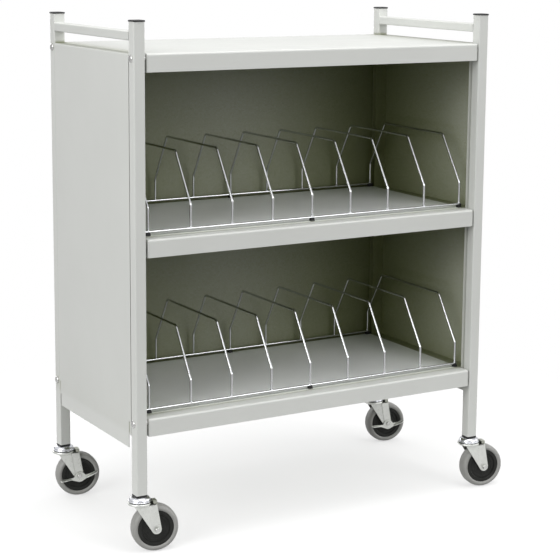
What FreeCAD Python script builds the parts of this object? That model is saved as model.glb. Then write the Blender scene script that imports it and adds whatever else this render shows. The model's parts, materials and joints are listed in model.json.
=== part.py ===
import FreeCAD, Part
import math
import os
import re

import Sketcher
from FreeCAD import Vector

# Medical chart rack on casters: four square posts, three sheet shelves, two side
# panels, a back panel, two handle rails above the top shelf, a wire divider rack
# on each of the two lower shelves, and four swivel casters, the rear two with brakes.
#
# Millimetres. +X is the rack's right, +Y its back and +Z up. The origin is on the
# floor under the middle of the whole outline, casters included; all four casters
# trail to the right, so the middle of the frame lies a little left of the origin.

SIZES = {
    # frame
    "frame_width": 889,
    "frame_depth": 432,
    "frame_height": 1118,
    "post_side": 25.4,
    "post_wall": 1.6,
    "post_corner": 3,
    "cap_thickness": 2,
    "cap_round": 0.9,
    "cap_overhang": 1,
    "cap_plug_length": 15,
    "plug_clearance": 0.1,
    "handle_height": 19,
    "handle_wall": 1.5,
    "handle_drop": 22.5,
    "handle_corner": 2.5,
    # sheet parts
    "sheet": 1.2,
    "top_shelf_drop": 67,
    "bottom_shelf_rise": 163.6,
    "shelf_skirt": 38.1,
    "shelf_bend": 4.5,
    "shelf_lip": 12,
    "notch_gap": 0.4,
    "corner_gap": 0.3,
    "panel_drop": 66,
    "flange_drop": 9,
    "panel_step": 10.6,
    "flange_width": 31.4,
    "top_flange_width": 38,
    "panel_bend": 1.5,
    "back_inset": 2,
    "back_side_gap": 1.6,
    # frame fasteners
    "bolt_diameter": 8,
    "bolt_head_diameter": 16,
    "bolt_head_height": 3.5,
    "bolt_head_round": 2.8,
    "bolt_drop": 9.5,
    "bolt_excess": 2,
    "spacer_length": 4.5,
    "nut_flats": 13,
    "nut_height": 6.5,
    "hole_clearance": 0.15,
    "screw_diameter": 4,
    "screw_length": 8,
    "screw_head_diameter": 8,
    "screw_head_height": 1.8,
    "screw_head_round": 1.2,
    "screw_edge": 60,
    # divider racks
    "wire": 5,
    "hoop_pitch": 100,
    "rack_shift": 4,
    "rack_clearance": 1,
    "rack_front": 40,
    "rack_back": 20,
    "rail_height": 9,
    "rail_stub": 6,
    "knee_height": 60,
    "hoop_height": 166,
    "front_run": 70,
    "rear_run": 62,
    "hoop_bend": 9,
    "tray_margin": 2,
    "tray_side_margin": 8,
    "tray_corner": 4,
    "foot_length": 16,
    "foot_width": 9,
    "foot_round": 3,
    # casters
    "caster_turn": 11.2,
    "trail": 31.5,
    "wheel_diameter": 101.6,
    "tyre_width": 32,
    "tyre_shoulder": 6,
    "hub_diameter": 78.6,
    "hub_rim_width": 27,
    "hub_ring_diameter": 62,
    "hub_web_width": 21,
    "hub_boss_diameter": 26,
    "hub_boss_width": 33,
    "bushing_diameter": 16,
    "axle_diameter": 9.5,
    "axle_head_diameter": 11.5,
    "axle_head_height": 3,
    "axle_head_round": 1.5,
    "axle_nut_flats": 14,
    "axle_nut_height": 6,
    "axle_excess": 1.5,
    "shaft_clearance": 0.05,
    "end_clearance": 0.2,
    "leg_side_gap": 2.5,
    "leg_thickness": 2.5,
    "leg_end_radius": 10.5,
    "leg_lead": 16,
    "leg_back": 32.4,
    "crown_gap": 2,
    "crown_thickness": 4.5,
    "crown_diameter": 50,
    "crown_round": 1.6,
    "tab_width": 17,
    "tab_height": 11,
    "bell_gap": 0.5,
    "bell_height": 11.8,
    "bell_diameter": 45,
    "bell_wall": 3.4,
    "bell_round": 7,
    "bearing_height": 5,
    "bearing_land": 2,
    "kingpin_diameter": 11,
    "kingpin_length": 40,
    "kingpin_head_diameter": 18,
    "kingpin_head_height": 3,
    "collar_height": 5,
    "stem_plug_length": 45,
    # brake levers
    "brake_thickness": 2,
    "brake_gap": 0.3,
    "brake_reach": 40,
    "brake_tip_rise": 14,
    "brake_centre_drop": 11,
    "brake_top": 8,
    "brake_top_width": 18,
    "brake_pad_width": 12,
    "brake_tilt": 12.5,
    # how far a cut runs past the faces it goes through
    "overrun": 1,
}

# Lengths and places that follow from the sizes above, each as a formula.
WORKED_OUT = {
    "wheel_radius": "wheel_diameter / 2",
    "turn_cos": "cos(caster_turn * 1deg)",
    "turn_sin": "sin(caster_turn * 1deg)",
    "wheel_reach": "(trail + wheel_radius) * turn_cos + tyre_width / 2 * turn_sin",
    "left_overhang": "(crown_diameter - post_side) / 2",
    "right_overhang": "wheel_reach - post_side / 2",
    "left_face": "-(frame_width + right_overhang - left_overhang) / 2",
    "right_face": "left_face + frame_width",
    "frame_middle": "left_face + frame_width / 2",
    "front_face": "-frame_depth / 2",
    "left_post": "left_face + post_side / 2",
    "right_post": "right_face - post_side / 2",
    "front_post": "front_face + post_side / 2",
    "rear_post": "-front_face - post_side / 2",
    "post_spacing_x": "frame_width - post_side",
    "post_spacing_y": "frame_depth - post_side",
    "post_bore": "post_side - 2 * post_wall",
    "plug_side": "post_bore - 2 * plug_clearance",
    "plug_corner": "post_corner - post_wall + plug_clearance",
    "crown_bottom": "wheel_diameter + crown_gap",
    "crown_top": "crown_bottom + crown_thickness",
    "bell_bottom": "crown_top + bell_gap",
    "bell_top": "bell_bottom + bell_height",
    "post_bottom": "bell_top + collar_height",
    "post_top": "frame_height - cap_thickness",
    "post_height": "post_top - post_bottom",
    "top_shelf_height": "frame_height - top_shelf_drop",
    "bottom_shelf_height": "post_bottom + bottom_shelf_rise",
    "shelf_pitch": "(top_shelf_height - bottom_shelf_height) / 2",
    "middle_shelf_height": "bottom_shelf_height + shelf_pitch",
    "shelf_end": "post_side + spacer_length",
    "shelf_half": "frame_width / 2 - shelf_end",
    "shelf_wide_half": "frame_width / 2 - sheet",
    "shelf_notch": "post_side + sheet + notch_gap",
    "relief_edge": "post_side - notch_gap",
    "bend_reach": "shelf_bend + sheet",
    "lap_end": "frame_width / 2 - top_flange_width - notch_gap",
    "shelf_depth": "frame_depth - back_inset - sheet",
    "shelf_rear_notch": "frame_depth - shelf_notch",
    "panel_bottom": "bottom_shelf_height - panel_drop",
    "flange_bottom": "bottom_shelf_height - flange_drop",
    "back_bottom": "bottom_shelf_height - shelf_skirt",
    "back_width": "frame_width - 2 * (post_side + back_side_gap)",
    "bolt_bore": "bolt_diameter + 2 * hole_clearance",
    "bolt_grip": "shelf_end + sheet",
    "screw_bore": "screw_diameter + 2 * hole_clearance",
    "screw_spread": "back_width - 2 * screw_edge",
    "rack_middle": "frame_middle + rack_shift",
    "rack_room": "frame_width - 2 * (flange_width + rack_clearance + tray_side_margin + rack_shift)",
    "rack_depth": "frame_depth - rack_front - rack_back",
    "rail_top": "rail_height + wire / 2",
    "foot_top": "rail_height",
    "leg_inside": "tyre_width / 2 + leg_side_gap",
    "leg_outside": "leg_inside + leg_thickness",
    "axle_bore": "axle_diameter + 2 * shaft_clearance",
    "brake_inside": "leg_outside + brake_gap",
    "brake_outside": "brake_inside + brake_thickness",
    "kingpin_bore": "kingpin_diameter + 2 * shaft_clearance",
    "kingpin_head_top": "crown_bottom - end_clearance",
    "bearing_bottom": "crown_top + shaft_clearance",
    "bearing_diameter": "bell_diameter - 2 * (bell_wall + hole_clearance)",
    "bell_cavity": "bearing_bottom + bearing_height - bell_bottom",
}

CORNERS = {
    "front_left": ("left_post", "front_post"),
    "front_right": ("right_post", "front_post"),
    "rear_left": ("left_post", "rear_post"),
    "rear_right": ("right_post", "rear_post"),
}
SIDES = ("left", "right")
SHELVES = {
    "top": "top_shelf_height",
    "middle": "middle_shelf_height",
    "bottom": "bottom_shelf_height",
}
BOLTED_SHELVES = ("top", "bottom")
RACK_SHELVES = ("middle", "bottom")
BRAKED_CORNERS = ("rear_left", "rear_right")
FEET_PER_RAIL = 3
SCREWS_PER_SHELF = 4
LAP_LENGTH = "(shelf_wide_half - lap_end)"
SAME_PLACE = 0.001

doc = FreeCAD.newDocument("ChartRack")
sheet = doc.addObject("Spreadsheet::Sheet", "Sizes")
for row, (alias, size) in enumerate(SIZES.items(), 1):
    sheet.set(f"A{row}", alias)
    sheet.set(f"B{row}", str(size))
    sheet.setAlias(f"B{row}", alias)
doc.recompute()


# ---------------------------------------------------------------- formulas

def formula(text):
    """The expression for a formula written with the names of sizes."""
    def spelled_out(word):
        name = word.group()
        if name in WORKED_OUT:
            return f"({formula(WORKED_OUT[name])})"
        return f"Sizes.{name}" if name in SIZES else name
    return re.sub(r"[a-z_]+", spelled_out, str(text))


def value(text):
    """What a formula comes to, as a plain number."""
    result = sheet.evalExpression(formula(text))
    return float(getattr(result, "Value", result))


def bind(thing, field, text):
    thing.setExpression(field, formula(text))


# ---------------------------------------------------------------- bodies and features

def new_body(name, x, y, z, rotation=None):
    """A body of its own name, whose origin is at x, y, z."""
    body = doc.addObject("PartDesign::Body", name)
    body.Label = name
    turn = rotation or "rotation(vector(0; 0; 1); 0)"
    place = f"vector({x}; {y}; {z})"
    bind(body, "Placement", f"placement({place}; {turn})")
    return body


def origin_feature(body, role):
    return next(f for f in body.Origin.OriginFeatures if f.Role == role)


def new_sketch(body, plane, lift=0):
    """An empty sketch on one of the body's planes, lifted along its normal."""
    sketch = body.newObject("Sketcher::SketchObject", "Sketch")
    sketch.AttachmentSupport = [(origin_feature(body, f"{plane}_Plane"), "")]
    sketch.MapMode = "FlatFace"
    bind(sketch, "AttachmentOffset.Base.z", lift)
    return sketch


def add_fixed(sketch, kind, text, *where):
    """A measured constraint whose value follows a formula."""
    index = sketch.addConstraint(Sketcher.Constraint(kind, *where, value(text)))
    bind(sketch, f"Constraints[{index}]", text)


def fix_point(sketch, shape, point, x, y):
    for kind, text in (("DistanceX", x), ("DistanceY", y)):
        add_fixed(sketch, kind, text, -1, 1, shape, point)


def outline(body, plane, points, lift=0):
    """A closed outline of straight lines through the points."""
    sketch = new_sketch(body, plane, lift)
    corners = [Vector(value(x), value(y), 0) for x, y in points]
    count = len(corners)
    for number in range(count):
        line = Part.LineSegment(corners[number], corners[(number + 1) % count])
        sketch.addGeometry(line, False)
    for number, (x, y) in enumerate(points):
        following = (number + 1) % count
        sketch.addConstraint(Sketcher.Constraint("Coincident", number, 2, following, 1))
        fix_point(sketch, number, 1, x, y)
    return sketch


def rectangle(body, plane, x_low, x_high, y_low, y_high, lift=0):
    points = [(x_low, y_low), (x_high, y_low), (x_high, y_high), (x_low, y_high)]
    return outline(body, plane, points, lift)


def square(body, plane, side, lift=0):
    low, high = f"-{side} / 2", f"{side} / 2"
    return rectangle(body, plane, low, high, low, high, lift)


def add_circle(sketch, x, y, diameter):
    centre = Vector(value(x), value(y), 0)
    shape = sketch.addGeometry(Part.Circle(centre, Vector(0, 0, 1), value(diameter) / 2), False)
    add_fixed(sketch, "Diameter", diameter, shape)
    fix_point(sketch, shape, 3, x, y)


def circles(body, plane, diameter, centres=((0, 0),), lift=0):
    sketch = new_sketch(body, plane, lift)
    for x, y in centres:
        add_circle(sketch, x, y, diameter)
    return sketch


def add_hexagon(sketch, flats):
    """A regular hexagon about the sketch's origin, two of its corners on its x axis."""
    round_radius = f"{flats} / sqrt(3)"
    turns = [math.radians(60 * number) for number in range(6)]
    corners = [Vector(math.cos(turn), math.sin(turn), 0) * value(round_radius) for turn in turns]
    for number in range(6):
        sketch.addGeometry(Part.LineSegment(corners[number], corners[(number + 1) % 6]), False)
    for number in range(6):
        following = (number + 1) % 6
        sketch.addConstraint(Sketcher.Constraint("Coincident", number, 2, following, 1))
        x = f"{round_radius} * cos({60 * number} * 1deg)"
        y = f"{round_radius} * sin({60 * number} * 1deg)"
        fix_point(sketch, number, 1, x, y)


def pad(body, sketch, length, backwards=False):
    feature = body.newObject("PartDesign::Pad", "Pad")
    feature.Profile = sketch
    bind(feature, "Length", length)
    feature.Reversed = backwards
    return feature


def pocket(body, sketch, depth, forwards=False):
    feature = body.newObject("PartDesign::Pocket", "Pocket")
    feature.Profile = sketch
    bind(feature, "Length", depth)
    feature.Reversed = forwards
    return feature


def turned(body, sketch, axis):
    """The outline revolved about the sketch's own horizontal or vertical axis."""
    feature = body.newObject("PartDesign::Revolution", "Revolution")
    feature.Profile = sketch
    feature.ReferenceAxis = (sketch, [axis])
    feature.Angle = 360
    return feature


def box(body, x, y, z, length, width, height):
    """A block whose lowest corner is at x, y, z."""
    feature = body.newObject("PartDesign::AdditiveBox", "Block")
    for field, text in (("Length", length), ("Width", width), ("Height", height)):
        bind(feature, field, text)
    for field, text in (("x", x), ("y", y), ("z", z)):
        bind(feature, f"Placement.Base.{field}", text)
    return feature


def drill(body, plane, diameter, centres, start, depth):
    """Round holes along a plane's normal, through a wall that starts at a distance."""
    sketch = circles(body, plane, diameter, centres, f"{start} - overrun")
    return pocket(body, sketch, f"{depth} + 2 * overrun", forwards=True)


def edges(feature, **place):
    """Names of the edges that lie wholly at the given coordinates."""
    doc.recompute()
    wanted = {axis: value(text) for axis, text in place.items()}
    names = []
    for number, edge in enumerate(feature.Shape.Edges, 1):
        points = edge.discretize(4)
        offs = [abs(getattr(point, axis) - at) for point in points for axis, at in wanted.items()]
        if max(offs) < SAME_PLACE:
            names.append(f"Edge{number}")
    return names


def fillet(body, feature, names, radius):
    rounded = body.newObject("PartDesign::Fillet", "Fillet")
    rounded.Base = (feature, names)
    bind(rounded, "Radius", radius)
    return rounded


def upright_edges(feature, half_side):
    """The four vertical edges of a square column about the body's z axis."""
    corners = [(x, y) for x in (f"-{half_side}", half_side) for y in (f"-{half_side}", half_side)]
    return [name for x, y in corners for name in edges(feature, x=x, y=y)]


def repeat(body, *rows):
    """The whole body again in one or two rows: (axis, length, count) each."""
    pattern = body.newObject("PartDesign::LinearPattern", "Pattern")
    pattern.TransformMode = "Whole shape"
    for suffix, (axis, length, count) in zip(("", "2"), rows):
        setattr(pattern, f"Direction{suffix}", (origin_feature(body, f"{axis}_Axis"), [""]))
        bind(pattern, f"Length{suffix}", length)
        setattr(pattern, f"Occurrences{suffix}", count)
    body.Tip = pattern
    return pattern


def at_every_corner(body):
    repeat(body, ("X", "post_spacing_x", 2), ("Y", "post_spacing_y", 2))


# ---------------------------------------------------------------- frame

def make_post(name, x, y):
    """A square tube, drilled across for the bolts of the top and bottom shelves."""
    body = new_body(name, x, y, "post_bottom")
    tube = pad(body, square(body, "XY", "post_side"), "post_height")
    tube = fillet(body, tube, upright_edges(tube, "post_side / 2"), "post_corner")
    bore = pocket(body, square(body, "XY", "post_bore"), "post_height", forwards=True)
    fillet(body, bore, upright_edges(bore, "post_bore / 2"), "post_corner - post_wall")
    heights = [f"{SHELVES[shelf]} - bolt_drop - post_bottom" for shelf in BOLTED_SHELVES]
    centres = [(0, height) for height in heights]
    drill(body, "YZ", "bolt_bore", centres, "-post_side / 2", "post_side")


def make_caps():
    """Four black end caps, each with a plug that fills the top of its post."""
    body = new_body("post_caps", "left_post", "front_post", "post_top")
    plug = pad(body, square(body, "XY", "plug_side"), "cap_plug_length", backwards=True)
    fillet(body, plug, upright_edges(plug, "plug_side / 2"), "plug_corner")
    lid = pad(body, square(body, "XY", "(post_side + 2 * cap_overhang)"), "cap_thickness")
    lid = fillet(body, lid, upright_edges(lid, "(post_side / 2 + cap_overhang)"), "post_corner")
    fillet(body, lid, edges(lid, z="cap_thickness"), "cap_round")
    at_every_corner(body)


def make_handle(side):
    """A flat tube between the front and rear posts, above the top shelf."""
    top = "post_top + cap_thickness - handle_drop"
    body = new_body(f"handle_{side}", f"{side}_post", "front_face + post_side", f"{top} - handle_height")
    depth = "frame_depth - 2 * post_side"
    sides, ends = ("-post_side / 2", "post_side / 2"), ("0", "handle_height")
    tube = pad(body, rectangle(body, "XZ", *sides, *ends), depth, backwards=True)
    corners = [name for x in sides for z in ends for name in edges(tube, x=x, z=z)]
    fillet(body, tube, corners, "handle_corner")
    sides = ("handle_wall - post_side / 2", "post_side / 2 - handle_wall")
    ends = ("handle_wall", "handle_height - handle_wall")
    pocket(body, rectangle(body, "XZ", *sides, *ends), depth)


def make_side_panel(side):
    """A folded sheet between the posts: flat web, two upright flanges, top flange.

    The web hangs below the flanges, where its edges step back from the posts.
    """
    body = new_body(f"side_panel_{side}", f"{side}_face", "front_face", 0)
    rear = "frame_depth - post_side"
    low_front, low_rear = "post_side + panel_step", f"{rear} - panel_step"
    points = [("post_side", "top_shelf_height"), ("post_side", "flange_bottom")]
    points += [(low_front, "flange_bottom"), (low_front, "panel_bottom")]
    points += [(low_rear, "panel_bottom"), (low_rear, "flange_bottom")]
    points += [(rear, "flange_bottom"), (rear, "top_shelf_height")]
    pad(body, outline(body, "YZ", points), "sheet", backwards=side == "right")

    def inwards(width):
        return 0 if side == "left" else f"-{width}"

    tall = "top_shelf_height - flange_bottom"
    deep = "frame_depth - 2 * post_side"
    start = inwards("flange_width")
    for y in ("post_side", f"{rear} - sheet"):
        box(body, start, y, "flange_bottom", "flange_width", "sheet", tall)
    start = inwards("top_flange_width")
    roof = box(body, start, "post_side", "top_shelf_height - sheet", "top_flange_width", deep, "sheet")
    fillet(body, roof, edges(roof, x=0, z="top_shelf_height"), "panel_bend")


def notch_steps(flange, inset):
    """The steps of one front notch, from the shelf's end out to its widest part.

    Beside the notch a slit lets the side panel's flange of the given width through.
    """
    end, wide = f"(shelf_half - {inset})", f"(shelf_wide_half - {inset})"
    slit = f"(frame_width / 2 - {flange} - notch_gap - {inset})"
    near, far = f"(relief_edge - {inset})", f"(shelf_notch + {inset})"
    return [(end, near), (slit, near), (slit, far), (wide, far)]


def notched_side(flange, inset, front, rear):
    """The right side of a shelf seen from above, from its front to its rear."""
    steps = notch_steps(flange, inset)
    end = steps[0][0]
    return [(end, front), *steps, *((x, f"frame_depth - {y}") for x, y in reversed(steps)), (end, rear)]


def mirrored(points):
    return [(f"-{x}", y) for x, y in points]


def lapped_flange(name):
    """The widest flange that passes one shelf: the top flange lies on the top shelf."""
    return "top_flange_width" if name == "top" else "flange_width"


def make_shelf(name, height):
    """The deck of a sheet pan, notched at the corners to pass between the posts."""
    body = new_body(f"shelf_{name}", "frame_middle", "front_face", height)
    side = notched_side(lapped_flange(name), "sheet", "bend_reach", "shelf_depth")
    pad(body, outline(body, "XY", side + mirrored(reversed(side))), "sheet", backwards=True)
    if name == "top":
        deep = "shelf_rear_notch - shelf_notch - 2 * sheet"
        for start in ("sheet - shelf_wide_half", "lap_end - sheet"):
            box(body, start, "shelf_notch + sheet", "-2 * sheet", LAP_LENGTH, deep, "sheet")
        cut_laps(body)


def cut_laps(body):
    """Lower the ends by one sheet where the side panels' top flanges lap the shelf."""
    slits = ("shelf_notch - notch_gap", "shelf_rear_notch + notch_gap")
    for start in ("-shelf_wide_half - overrun", "lap_end"):
        end = f"{start} + {LAP_LENGTH} + overrun"
        pocket(body, rectangle(body, "XY", start, end, *slits), "sheet")


def make_shelf_skirts(name, height):
    """The pan's turned-down edges, open at the corners: bent front, rear, two ends."""
    body = new_body(f"shelf_skirts_{name}", "frame_middle", "front_face", height)
    half = "(shelf_half - sheet - corner_gap)"
    low = "sheet - shelf_skirt"
    front = [(0, 0), (0, "-shelf_skirt"), ("shelf_lip", "-shelf_skirt"), ("shelf_lip", low)]
    front += [("sheet", low), ("sheet", "-sheet"), ("bend_reach", "-sheet"), ("bend_reach", 0)]
    edge = pad(body, outline(body, "YZ", front, f"-{half}"), f"2 * {half}")
    edge = fillet(body, edge, edges(edge, y="sheet", z="-sheet"), "shelf_bend - sheet")
    fillet(body, edge, edges(edge, y=0, z=0), "shelf_bend")

    tall = "shelf_skirt - sheet"
    box(body, f"-{half}", "shelf_depth - sheet", "-shelf_skirt", f"2 * {half}", "sheet", tall)
    flange = lapped_flange(name)
    outside = notched_side(flange, 0, 0, "shelf_depth")
    strip = outside + list(reversed(notched_side(flange, "sheet", 0, "shelf_depth")))
    for points in (strip, mirrored(strip)):
        ends = pad(body, outline(body, "XY", points), "shelf_skirt", backwards=True)
    fillet(body, ends, edges(ends, y=0, z=0), "shelf_bend")
    if name == "top":
        cut_laps(body)
    if name in BOLTED_SHELVES:
        centres = [(y, "-bolt_drop") for y in ("post_side / 2", "frame_depth - post_side / 2")]
        drill(body, "YZ", "bolt_bore", centres, "-shelf_half", "sheet")
        drill(body, "YZ", "bolt_bore", centres, "shelf_half - sheet", "sheet")
    drill(body, "XZ", "screw_bore", screw_centres("-shelf_skirt / 2"), "-shelf_depth", "sheet")


def screw_centres(height):
    """Where the back panel's screws cross one shelf's rear skirt."""
    steps = [number / (SCREWS_PER_SHELF - 1) - 0.5 for number in range(SCREWS_PER_SHELF)]
    return [(f"screw_spread * {step:.6f}", height) for step in steps]


def make_back_panel():
    """A flat sheet behind the shelves, between the rear posts."""
    body = new_body("back_panel", "frame_middle", "front_face + shelf_depth", "back_bottom")
    height = "top_shelf_height - back_bottom"
    pad(body, rectangle(body, "XZ", "-back_width / 2", "back_width / 2", 0, height), "sheet", backwards=True)
    rows = [f"shelf_skirt / 2 + shelf_pitch * {number}" for number in range(3)]
    centres = [centre for row in rows for centre in screw_centres(row)]
    drill(body, "XZ", "screw_bore", centres, "-sheet", "sheet")


def make_back_screws():
    """Low-headed screws, from behind, through the back panel and the shelf skirts."""
    row = "back_bottom + shelf_skirt / 2"
    back = "front_face + shelf_depth + sheet"
    body = new_body("back_screws", "frame_middle - screw_spread / 2", back, row)
    head, shank = "screw_head_diameter / 2", "screw_diameter / 2"
    points = [("-screw_length", 0), ("screw_head_height", 0), ("screw_head_height", head)]
    points += [(0, head), (0, shank), ("-screw_length", shank)]
    screw = turned(body, outline(body, "YZ", points), "H_Axis")
    fillet(body, screw, edges(screw, y="screw_head_height"), "screw_head_round")
    repeat(body, ("X", "screw_spread", SCREWS_PER_SHELF), ("Z", "2 * shelf_pitch", len(SHELVES)))


# ---------------------------------------------------------------- frame fasteners

def bolt_body(name):
    """A body on the axis of the bottom front bolts, midway between the posts."""
    return new_body(name, "frame_middle", "front_post", "bottom_shelf_height - bolt_drop")


def at_every_bolt(body):
    repeat(body, ("Y", "post_spacing_y", 2), ("Z", "2 * shelf_pitch", len(BOLTED_SHELVES)))


def outwards(side, distance):
    """How far along x a point lies that is a distance inside one side's outer face."""
    place = f"(frame_width / 2 - ({distance}))"
    return f"-{place}" if side == "left" else place


def make_frame_bolts():
    """Round-headed bolts, from the outer face of each post into the shelf's end."""
    body = bolt_body("frame_bolts")
    tip = "(bolt_grip + nut_height + bolt_excess)"
    for side in SIDES:
        crown, seat, end = (outwards(side, at) for at in ("-bolt_head_height", 0, tip))
        points = [(end, 0), (crown, 0)]
        points += [(x, "bolt_head_diameter / 2") for x in (crown, seat)]
        points += [(x, "bolt_diameter / 2") for x in (seat, end)]
        bolt = turned(body, outline(body, "XZ", points), "H_Axis")
        fillet(body, bolt, edges(bolt, x=crown), "bolt_head_round")
    at_every_bolt(body)


def make_bolt_spacers():
    """Rings that hold each shelf's end away from the post."""
    body = bolt_body("bolt_spacers")
    for side in SIDES:
        ends = (outwards(side, "post_side"), outwards(side, "shelf_end"))
        turned(body, rectangle(body, "XZ", *ends, "bolt_bore / 2", "bolt_head_diameter / 2"), "H_Axis")
    at_every_bolt(body)


def make_frame_nuts():
    body = bolt_body("frame_nuts")
    for side in SIDES:
        sketch = new_sketch(body, "YZ", outwards(side, "bolt_grip"))
        add_hexagon(sketch, "nut_flats")
        add_circle(sketch, 0, 0, "bolt_bore")
        pad(body, sketch, "nut_height", backwards=side == "right")
    at_every_bolt(body)


# ---------------------------------------------------------------- divider racks

def rack_body(name, shelf):
    """A body on a shelf's deck, at the middle of its rack, under the front rail."""
    return new_body(f"{name}_{shelf}", "rack_middle", "front_face + rack_front", SHELVES[shelf])


def hoop_spaces():
    """How many spaces between hoops fit between the side panels' flanges."""
    return int(value("rack_room / hoop_pitch"))


def hoop_span():
    return f"(hoop_pitch * {hoop_spaces()})"


def make_divider_tray(shelf):
    """A thin plate on the deck that the rails' feet stand on."""
    body = rack_body("divider_tray", shelf)
    half = f"({hoop_span()} / 2 + tray_side_margin)"
    sketch = rectangle(body, "XY", f"-{half}", half, "-tray_margin", "rack_depth + tray_margin")
    tray = pad(body, sketch, "sheet")
    corners = [(x, y) for x in (f"-{half}", half) for y in ("-tray_margin", "rack_depth + tray_margin")]
    fillet(body, tray, [n for x, y in corners for n in edges(tray, x=x, y=y)], "tray_corner")


def make_divider_rails(shelf):
    """Two straight wires along the rack, front and rear, above the tray."""
    body = rack_body("divider_rails", shelf)
    half = f"({hoop_span()} / 2 + rail_stub)"
    sketch = circles(body, "YZ", "wire", [(y, "rail_height") for y in (0, "rack_depth")], f"-{half}")
    pad(body, sketch, f"2 * {half}")


def arc_between(start, end, centre):
    """The shorter arc from start to end, always counter-clockwise, and if it was turned."""
    spans = [math.atan2(point.y - centre.y, point.x - centre.x) for point in (start, end)]
    turned_round = (spans[1] - spans[0]) % (2 * math.pi) > math.pi
    if turned_round:
        spans.reverse()
    circle = Part.Circle(centre, Vector(0, 0, 1), start.distanceToPoint(centre))
    return Part.ArcOfCircle(circle, spans[0], spans[1]), turned_round


def bend_points(before, corner, after, radius):
    """Where a bend of the radius leaves its two runs, and its centre."""
    back = (before - corner).normalize()
    onward = (after - corner).normalize()
    half_angle = back.getAngle(onward) / 2
    reach = radius / math.tan(half_angle)
    centre = corner + (back + onward).normalize() * (radius / math.sin(half_angle))
    return corner + back * reach, corner + onward * reach, centre


def bent_path(body, plane, points, radius):
    """An open path of straight runs joined by tangent bends of one radius.

    Construction lines through the points carry the runs.
    """
    sketch = new_sketch(body, plane)
    corners = [Vector(value(x), value(y), 0) for x, y in points]
    guides = []
    for number in range(len(corners) - 1):
        guides.append(sketch.addGeometry(Part.LineSegment(corners[number], corners[number + 1]), True))
        fix_point(sketch, guides[-1], 1, *points[number])
        if number:
            joint = Sketcher.Constraint("Coincident", guides[-2], 2, guides[-1], 1)
            sketch.addConstraint(joint)
    fix_point(sketch, guides[-1], 2, *points[-1])

    bends = [bend_points(*corners[n - 1:n + 2], value(radius)) for n in range(1, len(corners) - 1)]
    starts = [corners[0]] + [bend[1] for bend in bends]
    ends = [bend[0] for bend in bends] + [corners[-1]]
    runs = [sketch.addGeometry(Part.LineSegment(a, b), False) for a, b in zip(starts, ends)]
    for number in range(len(bends)):
        sketch.addConstraint(Sketcher.Constraint("PointOnObject", runs[number], 2, guides[number]))
        sketch.addConstraint(Sketcher.Constraint("PointOnObject", runs[number + 1], 1, guides[number + 1]))
    sketch.addConstraint(Sketcher.Constraint("Coincident", runs[0], 1, guides[0], 1))
    sketch.addConstraint(Sketcher.Constraint("Coincident", runs[-1], 2, guides[-1], 2))
    for number, (start, end, centre) in enumerate(bends):
        arc, turned_round = arc_between(start, end, centre)
        shape = sketch.addGeometry(arc, False)
        first, last = (2, 1) if turned_round else (1, 2)
        sketch.addConstraint(Sketcher.Constraint("Tangent", runs[number], 2, shape, first))
        sketch.addConstraint(Sketcher.Constraint("Tangent", shape, last, runs[number + 1], 1))
        add_fixed(sketch, "Radius", radius, shape)
    return sketch


def make_divider_hoops(shelf):
    """Bent wires, each standing on the front and rear rails."""
    body = new_body(
        f"divider_hoops_{shelf}",
        f"rack_middle - {hoop_span()} / 2",
        "front_face + rack_front",
        SHELVES[shelf],
    )
    points = [(0, "rail_top"), (0, "knee_height")]
    points += [(y, "hoop_height") for y in ("front_run", "rack_depth - rear_run")]
    points += [("rack_depth", "knee_height"), ("rack_depth", "rail_top")]
    path = bent_path(body, "YZ", points, "hoop_bend")
    section = circles(body, "XY", "wire", lift="rail_top")
    doc.recompute()
    pipe = body.newObject("PartDesign::AdditivePipe", "Wire")
    pipe.Profile = section
    pipe.Spine = (path, [f"Edge{number + 1}" for number in range(len(path.Shape.Edges))])
    body.Tip = pipe
    repeat(body, ("X", hoop_span(), hoop_spaces() + 1))


def make_rail_feet(shelf):
    """Moulded saddles between the tray and the underside of each rail."""
    body = rack_body("rail_feet", shelf)
    body_x = f"-({hoop_span()} + foot_length) / 2"
    for y in (0, "rack_depth"):
        size = ("foot_length", "foot_width", "foot_top - sheet")
        foot = box(body, body_x, f"{y} - foot_width / 2", "sheet", *size)
        names = [n for x in (body_x, f"{body_x} + foot_length") for n in edges(foot, x=x, z="foot_top")]
        own = [n for n in names if abs(middle_of(foot, n).y - value(y)) < value("foot_width")]
        fillet(body, foot, own, "foot_round")
    groove = circles(body, "YZ", "wire", [(y, "rail_height") for y in (0, "rack_depth")], f"{body_x} - wire")
    pocket(body, groove, "foot_length + 2 * wire", forwards=True)
    repeat(body, ("X", hoop_span(), FEET_PER_RAIL))


def middle_of(feature, name):
    return feature.Shape.getElement(name).CenterOfMass


# ---------------------------------------------------------------- casters

def make_caster_plugs():
    """Black plugs in the bottoms of the posts, bored for the casters' kingpins."""
    body = new_body("caster_plugs", "left_post", "front_post", "post_bottom")
    plug = pad(body, square(body, "XY", "plug_side"), "stem_plug_length")
    fillet(body, plug, upright_edges(plug, "plug_side / 2"), "plug_corner")
    collar = pad(body, square(body, "XY", "post_side"), "collar_height", backwards=True)
    fillet(body, collar, upright_edges(collar, "post_side / 2"), "post_corner")
    bore = circles(body, "XY", "kingpin_bore", lift="-collar_height")
    pocket(body, bore, "collar_height + kingpin_length", forwards=True)
    at_every_corner(body)


def swivel_body(name):
    """A body on the front left swivel axis, at floor level."""
    return new_body(name, "left_post", "front_post", 0)


def make_kingpins():
    """Headed pins that hang the forks from the plugs."""
    body = swivel_body("kingpins")
    head = circles(body, "XY", "kingpin_head_diameter", lift="kingpin_head_top - kingpin_head_height")
    pad(body, head, "kingpin_head_height")
    shank = circles(body, "XY", "kingpin_diameter", lift="kingpin_head_top")
    pad(body, shank, "post_bottom + kingpin_length - kingpin_head_top - end_clearance")
    at_every_corner(body)


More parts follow.
